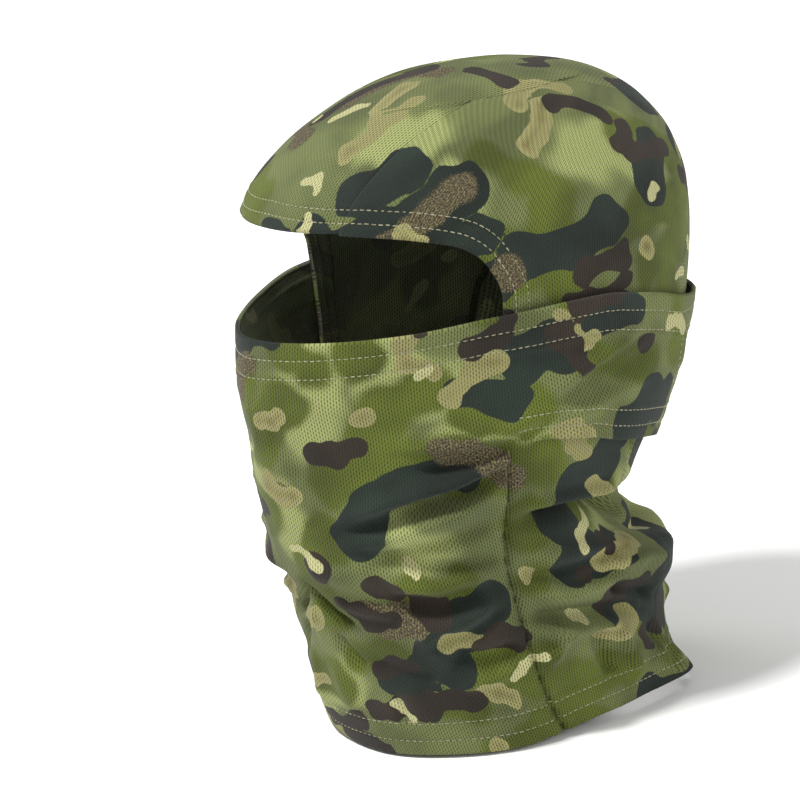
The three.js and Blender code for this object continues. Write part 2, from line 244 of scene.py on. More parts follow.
NECK_FOLDS = [  # below the jaw, on the face panel and on the hood alike
    ([(-6, 84), (2, 79), (6, 71), (12, 64), (20, 60)], -3.4, 3.2),
    ([(-16, 74), (-7, 66), (0, 56)], 3.0, 7), ([(10, 90), (24, 88), (36, 92)], 1.6, 6),
    ([(34, 74), (50, 71), (66, 77)], -2.6, 5.2), ([(36, 82), (54, 80), (71, 86)], 1.8, 6),
    ([(38, 60), (54, 62), (68, 68)], 1.5, 6),
    ([(48, 49), (60, 45), (74, 47)], -2.6, 4.6), ([(42, 62), (46, 52), (52, 44)], 1.4, 5),
    ([(20, 46), (34, 40), (46, 38)], -1.3, 6), ([(6, 44), (8, 30), (12, 20)], 1.2, 7),
    ([(74, 103), (84, 101), (96, 100), (110, 97), (124, 93), (138, 89), (152, 88)], -5.0, 4.2),
    ([(104, 96), (124, 90), (146, 87)], -4.2, 6.8),
    ([(74, 110), (88, 108), (104, 105), (120, 100)], 2.2, 5),
    ([(76, 88), (92, 83), (110, 75), (128, 68), (142, 65)], 2.8, 8),
    ([(106, 64), (124, 57), (148, 54)], 2.6, 9),
    ([(76, 71), (90, 64), (104, 64), (112, 66)], 2.6, 4.2),
    ([(74, 60), (90, 55), (106, 50), (116, 44)], -3.6, 4.4),
    ([(103, 62), (114, 55), (126, 47)], -3.2, 3.8), ([(102, 72), (118, 67), (130, 60)], 2.6, 4.4),
    ([(79, 36), (84, 44), (88, 52)], 1.8, 3.6), ([(96, 46), (98, 30), (99, 18)], -2.2, 4),
    ([(105, 44), (108, 28), (110, 14)], 2.0, 4.4), ([(120, 36), (126, 22), (130, 8)], -1.8, 5),
    ([(122, 24), (130, 10), (134, -6)], 2.6, 9),
    ([(128, 78), (146, 74), (170, 76)], -3.0, 5), ([(130, 66), (150, 62), (180, 64)], 2.4, 6),
    ([(140, 50), (158, 47), (180, 50)], -2.4, 5), ([(150, 36), (164, 30), (180, 32)], 1.8, 6),
    ([(156, 92), (168, 94), (180, 93)], 1.6, 6), ([(152, 18), (158, 8), (160, 0)], -1.6, 5),
    ([(77, 110), (82, 118), (92, 122), (104, 120)], 1.6, 3.4),
    ([(78, 122), (86, 112), (98, 110), (112, 108)], -1.8, 3.0),
    ([(76, 78), (88, 75), (100, 76), (112, 74)], -1.9, 3.0),
    ([(77, 54), (84, 49), (96, 46), (106, 42)], 1.7, 3.2),
    ([(72, 40), (62, 36), (50, 34)], 1.4, 3.4), ([(70, 66), (58, 58), (44, 54)], -1.6, 3.2),
    ([(72, 88), (60, 88), (46, 92), (34, 98)], -1.5, 3.2), ([(14, 74), (26, 70), (38, 68)], 1.3, 3.6),
    ([(8, 58), (14, 48), (20, 40)], -1.4, 3.4), ([(28, 32), (30, 22), (30, 14)], -1.0, 3.0),
]


def to_stroke(turn, level, points):
    """How far each place on the cloth is from a line of points, in mm, and how far along it."""
    line = np.array([(t * MM_PER_TURN, z) for t, z in points], float)
    best, along = np.full(np.shape(turn), 1e9), np.zeros(np.shape(turn))
    x, y = turn * MM_PER_TURN, level
    parts = len(line) - 1
    for k in range(parts):
        (x0, y0), (dx, dy) = line[k], line[k + 1] - line[k]
        t = np.clip(((x - x0) * dx + (y - y0) * dy) / (dx * dx + dy * dy), 0, 1)
        away = np.hypot(x - x0 - t * dx, y - y0 - t * dy)
        nearer = away < best
        best, along = np.where(nearer, away, best), np.where(nearer, (k + t) / parts, along)
    return best, along


def wave(turn, level, seed, size):
    """Soft seeded waves over the cloth, between about -1 and 1, that close up behind the head."""
    rng = np.random.default_rng(seed)
    total = np.zeros(np.shape(turn))
    for _ in range(7):
        around = rng.integers(1, max(2, int(500 / size)))
        up = rng.uniform(-1, 1) * 2 * np.pi / size
        total += np.sin(np.radians(turn) * around + level * up + rng.uniform(0, 6.28)) / 3.2
    return total


def strokes(turn, level, folds):
    """The height of a list of folds. The right side repeats the left one's, a little shifted."""
    turn = np.mod(turn + 180, 360) - 180
    right = turn < 0
    t = np.where(right, -turn * 0.985 + 1.5, turn)
    z = np.where(right, level + 2.2 * np.sin(t / 21), level)
    centred = smoothstep(np.abs(turn), 0, 9)  # the two sides meet smoothly at the nose
    height = np.zeros(np.shape(turn))
    for points, rise, width in folds:
        away, along = to_stroke(t, z, points)
        taper = smoothstep(along, 0, 0.22) * (1 - smoothstep(along, 0.78, 1)) * 0.8 + 0.2
        spread = width * FOLD_WIDTH
        near = smoothstep(1 - away / (2.6 * spread), 0, 0.6)
        height += rise * np.exp(-((away / spread) ** 2)) * taper * near
    return FOLD_DEPTH * height * (0.35 + 0.65 * np.where(right, centred, 1))


def seam_dip(turn, level):
    """Sewn seams draw the cloth in, with small puckers beside them."""
    f = folded(turn)
    side = (f - edge_turn(np.minimum(level, SEAM_TOP))) * MM_PER_TURN
    pucker = 1 + 0.5 * np.sin(level * 0.9) * np.sin(level * 0.23 + 1)
    dip = 2.3 * np.exp(-((side / 1.2) ** 2)) * pucker * (level < SEAM_TOP)
    return -dip + 0.5 * np.exp(-(((np.abs(side) - 4) / 2.2) ** 2)) * (level < SEAM_TOP)


def neck_height(turn, level):
    fade = 1 - smoothstep(level, 100, 116) * (folded(turn) > SEAM_TURN - 6)
    height = strokes(turn, level, NECK_FOLDS) * fade
    edge = 0.45 + 0.55 * smoothstep(level, 0, 26)  # the double hem is stiffer than the cloth
    # The hem stands out at its two back corners, behind the neck.
    corner = 9 * np.exp(-(((folded(turn) - 130) / 13) ** 2)) * (1 - smoothstep(level, -2, 24))
    return height * edge + corner + 0.5 * wave(turn, level, 3, 40) + seam_dip(turn, level)


def cover_lift(turn, level):
    """The face panel rises off the hood's layer, to pass over it as the band."""
    f = folded(turn)
    over_hood = 4.0 - 1.2 * (1 - smoothstep(f, 34, SEAM_TURN - 4))  # less where no hood lies under it
    rise = 0.7 + (over_hood - 0.7) * smoothstep(level, 66, 100)
    inset = smoothstep(np.abs(f - edge_turn(np.minimum(level, SEAM_TOP))), 0, 14)
    return rise * np.maximum(inset, smoothstep(level, 122, 138))


def cover_height(turn, level):
    """The outside of the face panel and of the band, off the form."""
    f = folded(turn)
    low = low_level(turn)
    flare = 2.6 * np.exp(-(((level - low) / 11) ** 2)) * smoothstep(f, SEAM_TURN + 4, 92)
    flare = flare * (1 - 0.8 * smoothstep(f, 104, 132))
    tuck = -2.6 * np.exp(-(((f - 77) / 7) ** 2) - ((level - 138) / 7) ** 2)
    below = neck_height(turn, level) * (1 - smoothstep(level, 96, 112))
    shallow = 1 - 0.36 * smoothstep(f, 54, 66)  # over the hood the folds stay clear of it as the band slides
    upper = strokes(turn, level, COVER_FOLDS) * shallow + 0.45 * wave(turn, level, 5, 46)
    ease = 0.5 + 0.5 * smoothstep(np.abs(level - top_level(turn)), 0, 18)
    return cover_lift(turn, level) + below + upper * ease * smoothstep(level, 84, 98) + flare + tuck


def hood_height(turn, level):
    """The outside of the hood, off the form: it lies flat under the band."""
    low = low_level(turn)
    under = smoothstep(level, low - 6, low + 8) * (1 - smoothstep(level, 196, 214))
    free = neck_height(turn, level) * (1 - smoothstep(level, 120, 140))
    calm = np.clip(half_at(level) / 64 - 0.2, 0, 1)  # smooth where the rings close on the crown
    crown = 0.5 * wave(turn, level, 8, 52) * smoothstep(level, 196, 214) * calm
    return free * (1 - under) + crown


# %% [markdown]
# ## The print
# A generic camouflage of rounded lobes. Each blob is a seeded, wandering chain of discs with its ink.
# The blobs are scattered evenly over the whole mask, so no part of the print is laid out by hand.

# %% The blobs of the print
INKS = ["olive", "forest", "brown", "tan", "cream", "speckle"]


def chain_of(rng, turn, level, size):
    """One seeded blob: a wandering chain of discs."""
    heading, chain = rng.uniform(-0.5, 0.5) + rng.integers(0, 2) * np.pi, []
    for _ in range(rng.integers(1, 5)):
        chain.append((turn, level, size * rng.uniform(0.7, 1.25)))
        heading += rng.uniform(-0.9, 0.9)
        turn += np.cos(heading) * size * 1.5 / MM_PER_TURN / max(0.25, float(half_at(level)) / 77)
        level = min(level + np.sin(heading) * size * 1.3, 280)
    return chain


SEEDED = {ink: [] for ink in INKS + ["pale"]}
for ink, seed, count, size in (
    ("olive", 111, 74, 10.5), ("forest", 112, 54, 10.5), ("brown", 113, 84, 5.4), ("tan", 114, 60, 4.8),
    ("cream", 115, 44, 2.9), ("speckle", 116, 14, 7), ("pale", 117, 30, 11),
):
    rng = np.random.default_rng(seed)
    for _ in range(count):
        SEEDED[ink].append(chain_of(rng, rng.uniform(0, 360), rng.uniform(0, 278), size))
print("blobs:", {ink: len(chains) for ink, chains in SEEDED.items()})


def inside_chain(x, y, z, chain):
    """How far inside one chain of discs, given as (x, y, z, radius), each point is."""
    inside = np.full(x.shape, -40.0)
    for a, b in zip(chain, chain[1:] if len(chain) > 1 else chain):
        d = b[:3] - a[:3]
        length2 = max(float(d @ d), 1e-6)
        px, py, pz = x - a[0], y - a[1], z - a[2]
        k = np.clip((px * d[0] + py * d[1] + pz * d[2]) / length2, 0, 1)
        bow = 0.82 + 0.18 * (2 * k - 1) ** 2  # the neck between two discs is narrower
        radius = (a[3] + (b[3] - a[3]) * k) * (bow if length2 > 1 else 1)
        away = np.sqrt((px - k * d[0]) ** 2 + (py - k * d[1]) ** 2 + (pz - k * d[2]) ** 2)
        inside = np.maximum(inside, radius - away)
    return inside


def ink_field(turn, level, chains, seed, warp=1.3):
    """How far inside its ink each place is, in mm: above 0 inside a blob. It is measured in space."""
    warp = warp * np.clip(half_at(level) / 60 - 0.1, 0, 1)  # less on the small rings of the crown
    t = turn + warp * wave(turn, level, seed, 17) / MM_PER_TURN
    z = level + warp * wave(turn, level, seed + 1, 15)
    points = form_point(t, z)
    field = np.full(np.shape(turn), -40.0)
    for chain in chains:
        links = np.array([(*form_point(c[0], c[1]), c[2]) for c in chain], float)
        centre = links[:, :3].mean(0)
        reach = 14 + (np.linalg.norm(links[:, :3] - centre, axis=1) + links[:, 3]).max()
        close = np.linalg.norm(points - centre, axis=-1) < reach
        if close.any():
            field[close] = np.maximum(field[close], inside_chain(*points[close].T, links))
    return field


# %% [markdown]
# ## Making cloth
# A piece of cloth starts as a net of places, each a turn and a level. `cloth` gives it an outside and
# an inside a millimetre apart, joins them round the rim with a rounded edge, and stores on each vertex
# where it is on the cloth and how far inside each ink it is. The material reads both.

# %% Measures of the cloth
CLOTH = 1.0  # thickness of one layer
TURNED = 0.8  # thickness of a hem's turned-in layer
FINE, COARSE = 0.75, 1.35  # spacing of the net on hems and elsewhere

RINGS, STEPS = 72, 121  # the tables of lengths along the form: levels up it, and turns half way round
ring_levels, ring_turns = np.linspace(0, TOP_LEVEL, RINGS), np.linspace(0, 180, STEPS)
ring_grid = form_point(ring_turns[None, :], ring_levels[:, None])
around_table = np.concatenate(
    [np.zeros((RINGS, 1)), np.cumsum(np.linalg.norm(np.diff(ring_grid, axis=1), axis=-1), 1)], 1)
up_table = np.concatenate(
    [np.zeros((1, STEPS)), np.cumsum(np.linalg.norm(np.diff(ring_grid, axis=0), axis=-1), 0)], 0)


def look_up(table, turn, level):
    """A table's value at each turn and level, between its entries."""
    i = np.clip(level / TOP_LEVEL * (RINGS - 1), 0, RINGS - 1.001)
    j = np.clip(turn / 180 * (STEPS - 1), 0, STEPS - 1.001)
    i0, j0 = i.astype(int), j.astype(int)
    fi, fj = i - i0, j - j0
    low = table[i0, j0] * (1 - fj) + table[i0, j0 + 1] * fj
    high = table[i0 + 1, j0] * (1 - fj) + table[i0 + 1, j0 + 1] * fj
    return low * (1 - fi) + high * fi


def cloth_place(turn, level):
    """Millimetres round and up the cloth from the middle of its front."""
    f = np.abs(turn)
    past = f > 180
    near = look_up(around_table, np.where(past, 360 - f, f), level)
    whole = look_up(around_table, np.full_like(f, 180.0), level)
    return np.sign(turn) * np.where(past, 2 * whole - near, near), look_up(up_table, folded(turn), level)


def crown_place(turn, level):
    """The same for the hood's centre panel, which runs from the nape over the crown to the brow."""
    x, y, z = np.moveaxis(form_point(turn, level), -1, 0)
    over = np.arctan2(np.maximum(z - 170, 0), y - SHIFT - 15) * 105
    return x, np.where(z < 170, z - 170, over)


def lifted(turn, level):
    """The neck's edge isn't quite level: it rises a little at the side of the neck."""
    f = folded(turn)
    rise = 4.2 * smoothstep(f, 62, 96) * (1 - smoothstep(f, 128, 160))
    return level + rise * (1 - smoothstep(level, 0, 45)) + 1.5 * (1 - smoothstep(level, 0, 14))


def hem_relief(inset, height):
    """The outside of a turned hem: a little proud of the single cloth, and drawn in along the rows."""
    proud = 0.35 * (1 - smoothstep(inset, height - 0.8, height + 1.0))
    rows = sum(np.exp(-(((inset - height * share) / 0.75) ** 2)) for share in ROWS.values())
    return np.where(inset > -3, proud - 0.42 * rows, 0)


def cover_outside(turn, level):
    height = cover_height(turn, level) + hem_relief(top_level(turn) - level, TOP_HEM)
    behind = smoothstep(folded(turn), SEAM_TURN - 0.5, SEAM_TURN + 0.5)
    height = height + behind * hem_relief(level - low_level(turn), BAND_HEM) * (level > 100)
    return height + hem_relief(level, NECK_HEM) * (level < 60)


BROW_END = 231.4  # the level at which the brow's edge turns down the side of the face
brow_turn = np.linspace(0, float(turn_at_y(-55 + SHIFT, BROW_END)), 60)
brow_level = np.interp(brow_turn, (0, brow_turn[-1]), (BROW + 0.6, BROW_END))
side_level = np.linspace(BROW_END - 0.2, SEAM_TOP, 220)
OPENING = np.concatenate([  # the face opening's edge on the left, from the brow's middle to the seam
    np.stack([brow_turn, brow_level], 1), np.stack([edge_turn(side_level), side_level], 1)])
opening_points = form_point(OPENING[:, 0], OPENING[:, 1])


def from_opening(turn, level):
    """How far each place is from the edge of the face opening, in mm."""
    shape = np.shape(turn)
    points = form_point(folded(turn), level).reshape(-1, 3)
    away = np.full(len(points), 99.0)
    some = np.flatnonzero((level.reshape(-1) > SEAM_TOP - 20) & (points[:, 1] - SHIFT < 30))
    for start in range(0, len(some), 4000):
        k = some[start:start + 4000]
        away[k] = np.linalg.norm(points[k][:, None] - opening_points[None], axis=-1).min(1)
    return away.reshape(shape)


def hood_outside(turn, level):
    return (hood_height(turn, level) + hem_relief(from_opening(turn, level), OPENING_HEM)
            * (level > SEAM_TOP + 2) + hem_relief(level, NECK_HEM) * (level < 60))


def net(turn, level):
    """A net's places and faces, from two arrays of one shape."""
    rows, columns = turn.shape
    index = np.arange(rows * columns).reshape(rows, columns)
    faces = np.stack([index[:-1, :-1], index[:-1, 1:], index[1:, 1:], index[1:, :-1]], -1)
    return turn.ravel(), level.ravel(), faces.reshape(-1, 4)


def joined(*nets):
    """Several nets as one, with the places they share merged."""
    turn = np.concatenate([n[0] for n in nets])
    level = np.concatenate([n[1] for n in nets])
    starts = np.cumsum([0] + [len(n[0]) for n in nets[:-1]])
    faces = np.concatenate([n[2] + s for n, s in zip(nets, starts)])
    keys = np.round(form_point(turn, level) * 50).astype(int)
    _, first, back = np.unique(keys, axis=0, return_index=True, return_inverse=True)
    faces = back.reshape(-1)[faces]
    return turn[first], level[first], faces


def new_mesh(name, points, faces):
    mesh = bpy.data.meshes.new(name)
    mesh.from_pydata((points / 1000).tolist(), [], faces)
    mesh.validate()
    mesh.update()
    mesh.polygons.foreach_set("use_smooth", np.ones(len(mesh.polygons), bool))
    piece = bpy.data.objects.new(name, mesh)
    bpy.context.scene.collection.objects.link(piece)
    return piece


def cloth(name, pieces_net, outside, thickness, material, grain=0.0, printed=True, place_at=cloth_place):
    """A piece of cloth over the form. outside(turn, level) is how far its outside is off the form."""
    turn, level, faces = pieces_net
    faces = [tuple(dict.fromkeys(f)) for f in faces.tolist()]
    faces = [f for f in faces if len(f) > 2]
    raised = lifted(turn, level)
    base, normal = form_point(turn, raised), form_normal(turn, raised)
    height = outside(turn, level)
    thick = thickness(turn, level) if callable(thickness) else np.full(len(turn), float(thickness))
    outer, inner = base + normal * height[:, None], base + normal * (height - thick)[:, None]
    once = {}
    for f in faces:
        for a, b in zip(f, f[1:] + f[:1]):
            once[(a, b)] = True
    rim_edges = [(a, b) for a, b in once if (b, a) not in once]
    push = np.zeros_like(outer)
    for a, b in rim_edges:
        away = np.cross(outer[b] - outer[a], normal[a])
        push[a] += away
        push[b] += away
    rim = sorted({v for e in rim_edges for v in e})
    row = {v: k for k, v in enumerate(rim)}
    push = push[rim] / np.maximum(np.linalg.norm(push[rim], axis=1, keepdims=True), 1e-9)
    middle = (outer[rim] + inner[rim]) / 2 + push * 0.42 * thick[rim][:, None]
    n, m = len(turn), 2 * len(turn)
    all_faces = faces + [tuple(v + n for v in reversed(f)) for f in faces]
    for a, b in rim_edges:
        all_faces.append((b, a, m + row[a], m + row[b]))
        all_faces.append((m + row[b], m + row[a], a + n, b + n))
    piece = new_mesh(name, np.concatenate([outer, inner, middle]), all_faces)
    around, up = place_at(turn, level)
    c, s = math.cos(grain), math.sin(grain)
    place = np.stack([c * around - s * up, s * around + c * up, np.zeros(n)], 1)
    inside = np.concatenate([np.zeros(n), np.ones(n), np.full(len(rim), 0.5)])

    def spread(values):
        """Values for the outside, the inside and the rim."""
        return np.concatenate([values, values, values[rim]]).astype(np.float32)

    attributes = piece.data.attributes
    attributes.new("place", "FLOAT_VECTOR", "POINT").data.foreach_set("vector", spread(place).ravel())
    attributes.new("inside", "FLOAT", "POINT").data.foreach_set("value", inside.astype(np.float32))
    if printed:
        for k, ink in enumerate(INKS):
            values = ink_field(turn, raised, SEEDED[ink], 40 + 3 * k)
            attributes.new(ink, "FLOAT", "POINT").data.foreach_set("value", spread(values))
        values = ink_field(turn, raised, SEEDED["pale"], 90, 3)
        attributes.new("pale", "FLOAT", "POINT").data.foreach_set("value", spread(values))
    piece.data.materials.append(material)
    area = sum(p.area for p in piece.data.polygons) / 2
    print(f"{name}: {len(piece.data.vertices)} vertices, {area:.4f} square metres")
    return piece


def spaced(*stops):
    """Values along (value, spacing) stops: each stretch is divided at its own spacing."""
    values = [stops[0][0]]
    for (start, spacing), (end, _) in zip(stops, stops[1:]):
        steps = max(1, round(abs(end - start) / spacing))
        values += np.linspace(start, end, steps + 1)[1:].tolist()
    return np.array(values)


# %% [markdown]
# ## Materials
# Every knitted piece has one material: the print, the knit's small staggered holes painted dark as
# painted shade, a slow variation of tone, and a paler inside. The print and the knit are node groups,
# and the Principled shader stays in the material. Thread, seam edges and label are strands of two shades.

# %% Node helpers
def group(name, inputs, outputs):
    tree = bpy.data.node_groups.new(name, "ShaderNodeTree")
    for label, kind, value in inputs:
        socket = tree.interface.new_socket(label, in_out="INPUT", socket_type=kind)
        if value is not None:
            socket.default_value = value
    for label, kind in outputs:
        tree.interface.new_socket(label, in_out="OUTPUT", socket_type=kind)
    return tree, tree.nodes.new("NodeGroupInput"), tree.nodes.new("NodeGroupOutput")


def wire(tree, value, socket):
    """Joins a socket to another, or sets it to a plain value."""
    if isinstance(value, bpy.types.NodeSocket):
        tree.links.new(value, socket)
    else:
        socket.default_value = value


def math_node(tree, operation, *values, clamp=False):
    node = tree.nodes.new("ShaderNodeMath")
    node.operation, node.use_clamp = operation, clamp
    for value, socket in zip(values, node.inputs):
        wire(tree, value, socket)
    return node.outputs[0]


def ramp(tree, value, low, high, to_low=0.0, to_high=1.0):
    """A smooth step of value from low to high."""
    node = tree.nodes.new("ShaderNodeMapRange")
    node.interpolation_type = "SMOOTHSTEP"
    for item, socket in zip((value, low, high, to_low, to_high), node.inputs):
        wire(tree, item, socket)
    return node.outputs[0]


def mix(tree, factor, first, second, blend="MIX"):
    node = tree.nodes.new("ShaderNodeMix")
    node.data_type, node.blend_type = "RGBA", blend
    wire(tree, factor, node.inputs[0])
    wire(tree, first, node.inputs[6])
    wire(tree, second, node.inputs[7])
    return node.outputs[2]


def attribute(tree, name, output="Fac"):
    node = tree.nodes.new("ShaderNodeAttribute")
    node.attribute_name = name
    return node.outputs[output]


def noise(tree, vector, scale, detail=2.0, roughness=0.5):
    node = tree.nodes.new("ShaderNodeTexNoise")
    wire(tree, vector, node.inputs["Vector"])
    for label, value in (("Scale", scale), ("Detail", detail), ("Roughness", roughness)):
        wire(tree, value, node.inputs[label])
    return node.outputs["Fac"]


def colour(hex_code):
    """A colour as the eye names it, such as "5c6b3a", in the linear values that shaders use."""
    parts = [int(hex_code[k:k + 2], 16) / 255 for k in (0, 2, 4)]
    return tuple(c / 12.92 if c <= 0.04045 else ((c + 0.055) / 1.055) ** 2.4 for c in parts) + (1.0,)


# %% The print as a node group
SAGE, PALE_SAGE, DEEP_SAGE = colour("6f7747"), colour("979e62"), colour("596039")
PRINT, g_in, g_out = group("print", [("Place", "NodeSocketVector", None)],
                           [("Colour", "NodeSocketColor"), ("Dark", "NodeSocketFloat")])
place = g_in.outputs["Place"]
slow, grainy = noise(PRINT, place, 0.028, 2), noise(PRINT, place, 1.4, 2, 0.7)
ground = mix(PRINT, ramp(PRINT, slow, 0.34, 0.62), DEEP_SAGE, SAGE)
pale = math_node(PRINT, "ADD", attribute(PRINT, "pale"), math_node(PRINT, "MULTIPLY", grainy, 5.0))
ground = mix(PRINT, ramp(PRINT, pale, -5.0, 5.0), ground, PALE_SAGE)
olive_edge = math_node(PRINT, "ADD", attribute(PRINT, "olive"),
                       math_node(PRINT, "MULTIPLY_ADD", grainy, 6.0, -3.0))
olive = mix(PRINT, ramp(PRINT, slow, 0.3, 0.66), colour("474f1b"), colour("5f6a26"))
result = mix(PRINT, ramp(PRINT, olive_edge, -2.2, 2.6), ground, olive)


def crisp(ink, low=-0.22, high=0.22):
    return ramp(PRINT, attribute(PRINT, ink), low, high)


forest = mix(PRINT, ramp(PRINT, slow, 0.3, 0.7), colour("1a211c"), colour("27312a"))
result = mix(PRINT, crisp("forest"), result, forest)
speckles = mix(PRINT, ramp(PRINT, noise(PRINT, place, 1.1, 3, 0.8), 0.47, 0.56),
               colour("3d3529"), colour("756c4c"))
speckle_edge = math_node(PRINT, "ADD", attribute(PRINT, "speckle"),
                         math_node(PRINT, "MULTIPLY_ADD", grainy, 5.0, -2.5))
result = mix(PRINT, ramp(PRINT, speckle_edge, -0.8, 0.8), result, speckles)
tan = mix(PRINT, ramp(PRINT, attribute(PRINT, "tan"), 0.4, 6.0), colour("989462"), colour("70683c"))
tan = mix(PRINT, ramp(PRINT, slow, 0.4, 0.6), tan, colour("8f8b5b"))
result = mix(PRINT, crisp("tan"), result, tan)
brown = mix(PRINT, ramp(PRINT, slow, 0.35, 0.65), colour("28221d"), colour("362d25"))
result = mix(PRINT, crisp("brown"), result, brown)
result = mix(PRINT, crisp("cream"), result, colour("b5b381"))
dark = math_node(PRINT, "MAXIMUM", crisp("forest"), crisp("brown"))
PRINT.links.new(result, g_out.inputs["Colour"])
PRINT.links.new(dark, g_out.inputs["Dark"])

# %% The knit as a node group: staggered holes, ribs between them, and a height for the bump
KNIT_ACROSS, KNIT_UP = 1.2, 1.85
KNIT, g_in, g_out = group("knit", [("Place", "NodeSocketVector", None)],
                          [("Hole", "NodeSocketFloat"), ("Height", "NodeSocketFloat")])
split = KNIT.nodes.new("ShaderNodeSeparateXYZ")
wobble = KNIT.nodes.new("ShaderNodeTexNoise")
wobble.inputs["Scale"].default_value = 0.35
KNIT.links.new(g_in.outputs["Place"], wobble.inputs["Vector"])
KNIT.links.new(g_in.outputs["Place"], split.inputs[0])
shifted = math_node(KNIT, "MULTIPLY_ADD", wobble.outputs["Fac"], 0.5, split.outputs[0])
across = math_node(KNIT, "DIVIDE", shifted, KNIT_ACROSS)
column = math_node(KNIT, "FLOOR", across)
half = math_node(KNIT, "MULTIPLY", math_node(KNIT, "MODULO", column, 2.0), 0.5)
up = math_node(KNIT, "ADD", math_node(KNIT, "DIVIDE", split.outputs[1], KNIT_UP), half)
dx = math_node(KNIT, "DIVIDE", math_node(KNIT, "SUBTRACT", math_node(KNIT, "FRACT", across), 0.5), 0.27)
dy = math_node(KNIT, "DIVIDE", math_node(KNIT, "SUBTRACT", math_node(KNIT, "FRACT", up), 0.5), 0.47)
radius = math_node(KNIT, "SQRT", math_node(KNIT, "ADD", math_node(KNIT, "MULTIPLY", dx, dx),
                                           math_node(KNIT, "MULTIPLY", dy, dy)))
hole = ramp(KNIT, radius, 0.55, 1.15, 1.0, 0.0)
KNIT.links.new(hole, g_out.inputs["Hole"])
KNIT.links.new(math_node(KNIT, "SUBTRACT", 1.0, hole), g_out.inputs["Height"])


def add_group(material, tree, **inputs):
    node = material.node_tree.nodes.new("ShaderNodeGroup")
    node.node_tree = tree
    for label, value in inputs.items():
        wire(material.node_tree, value, node.inputs[label])
    return node.outputs


def principled(name, rough, sheen=0.0):
    material = bpy.data.materials.new(name)
    material.use_nodes = True
    shader = material.node_tree.nodes["Principled BSDF"]
    shader.inputs["Roughness"].default_value = rough
    shader.inputs["Specular IOR Level"].default_value = 0.18
    shader.inputs["Sheen Weight"].default_value = sheen
    shader.inputs["Sheen Roughness"].default_value = 0.6
    return material, material.node_tree, shader


def bump(tree, height, distance, strength, shader):
    node = tree.nodes.new("ShaderNodeBump")
    node.inputs["Distance"].default_value = distance
    node.inputs["Strength"].default_value = strength
    tree.links.new(height, node.inputs["Height"])
    tree.links.new(node.outputs[0], shader.inputs["Normal"])


# %% The printed mesh knit
knit_cloth, tree, shader = principled("printed_mesh_knit", 0.82, 0.05)
place = attribute(tree, "place", "Vector")
printed = add_group(knit_cloth, PRINT, Place=place)
knit = add_group(knit_cloth, KNIT, Place=place)
# Painted shade: each hole of the knit is painted near black, as if the shade behind the opening showed
# through. It is lighter over the dark inks.
hole_shade = math_node(tree, "MULTIPLY", knit["Hole"], ramp(tree, printed["Dark"], 0.0, 1.0, 0.64, 0.46))
base = mix(tree, hole_shade, printed["Colour"], colour("10130c"), "MIX")
paler = mix(tree, 0.45, printed["Colour"], colour("9aa08a"))
inner_side = ramp(tree, attribute(tree, "inside"), 0.6, 0.9)
# On the inside the holes get a lighter painted shade.
base = mix(tree, inner_side, base, mix(tree, hole_shade, paler, colour("2a2e22")))
fibre = noise(tree, place, 6.0, 2, 0.6)
base = mix(tree, 0.22, base, mix(tree, fibre, colour("303030"), colour("ffffff")), "SOFT_LIGHT")
tree.links.new(base, shader.inputs["Base Color"])
tree.links.new(ramp(tree, fibre, 0.3, 0.7, 0.76, 0.9), shader.inputs["Roughness"])
height = math_node(tree, "MULTIPLY_ADD", fibre, 0.25, knit["Height"])
bump(tree, height, 0.0003, 0.75, shader)


# %% Thread, overlocked edges, label and floor
def twisted(name, dark, light, rough, scale):
    """A thread or edge material: strands of two shades, in the object's own place."""
    material, tree, shader = principled(name, rough, 0.1)
    where = tree.nodes.new("ShaderNodeTexCoord").outputs["Object"]
    strand = noise(tree, where, scale, 3, 0.6)
    strands = mix(tree, ramp(tree, strand, 0.35, 0.65), colour(dark), colour(light))
    tree.links.new(strands, shader.inputs["Base Color"])
    tree.links.new(ramp(tree, strand, 0.3, 0.7, rough - 0.08, rough + 0.06), shader.inputs["Roughness"])
    bump(tree, strand, 0.0001, 0.5, shader)
    return material


stitch_thread = twisted("stitching_thread", "77755c", "a9a78a", 0.7, 900)
seam_thread = twisted("seam_thread", "2f3424", "59603f", 0.8, 900)
label_tape = twisted("label_tape", "c9c9c2", "dddcd6", 0.75, 1200)

# %% [markdown]
# ## The pieces
# The hood is three panels. The face panel is one net from seam to seam, and bends between the hood and
# the band as the band slides. The band's wings and rear panel carry on its surface behind the seams.

# %% Thickness at the folds, and the nets
def thick_at(fold):
    """A turned edge is two layers thick at its fold."""
    return CLOTH + 1.0 * (1 - smoothstep(fold, 1.2, 3.0))


def hood_thickness(turn, level):
    return thick_at(np.minimum(np.where(level > SEAM_TOP, from_opening(turn, level), 99), level))


def cover_thickness(turn, level):
    lower = np.where((folded(turn) > SEAM_TURN + 0.3) & (level > 60), level - low_level(turn), 99)
    return thick_at(np.minimum(np.minimum(top_level(turn) - level, lower), level))


def centre_turn(level):
    return turn_at_x(np.minimum(centre_side(level), half_at(level) - 0.02), level, True)


def strip_turn(level):
    return turn_at_x(np.minimum(STRIP_HALF, half_at(level) - 0.02), level, False)


def mirrored(n):
    return -n[0], n[1], n[2][:, ::-1]


# %% The hood's panels
COLUMNS = 76
side_levels = spaced((0, FINE), (21, COARSE), (196, 0.8), (236, COARSE), (CROWN - 0.1, 1))
first = np.where(side_levels < BROW - 1.2, edge_turn(side_levels), strip_turn(side_levels))
last = centre_turn(side_levels)
side_turns = first[:, None] + (last - first)[:, None] * np.linspace(0, 1, COLUMNS)[None]
side_net = net(side_turns, np.repeat(side_levels[:, None], COLUMNS, 1))
hood_left = cloth("hood_side_left", side_net, hood_outside, hood_thickness, knit_cloth, 0.12)
hood_right = cloth("hood_side_right", mirrored(side_net), hood_outside, hood_thickness, knit_cloth, -0.12)

